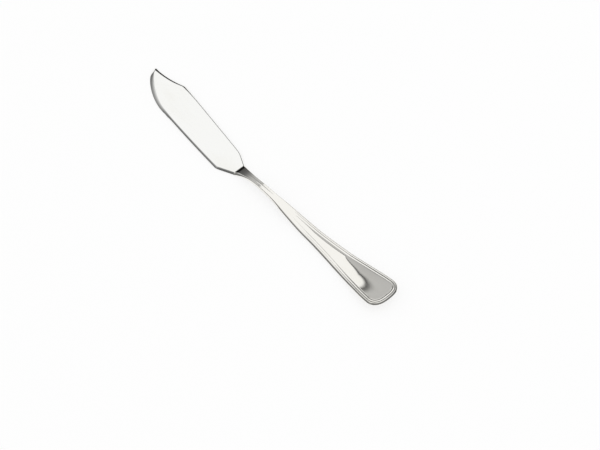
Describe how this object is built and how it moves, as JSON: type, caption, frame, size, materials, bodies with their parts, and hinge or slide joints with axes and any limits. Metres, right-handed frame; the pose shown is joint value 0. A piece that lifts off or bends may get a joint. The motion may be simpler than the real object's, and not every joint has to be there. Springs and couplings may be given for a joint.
{
  "type": "fish knife",
  "caption": "Fish knife with a flat, blunt, sickle-pointed blade notched on its spine, a slim raised neck and a flat fan-ended handle with a double thread border.",
  "frame": {"origin": "on the blade's flat underside, on the handle's axis, half way between the shoulder and the point of the blade", "axes": "+X along the handle's axis towards the point of the blade, +Y towards the cutting side, +Z out of the decorated face; the knife lies on the plane Z = 0"},
  "size_m": [0.2, 0.0261, 0.0056],
  "materials": {
    "blade_steel": "polished",
    "handle_steel": "polished"
  },
  "bodies": {
    "root": {"blade": "blade_steel", "handle": "handle_steel"}
  },
  "joints": []
}
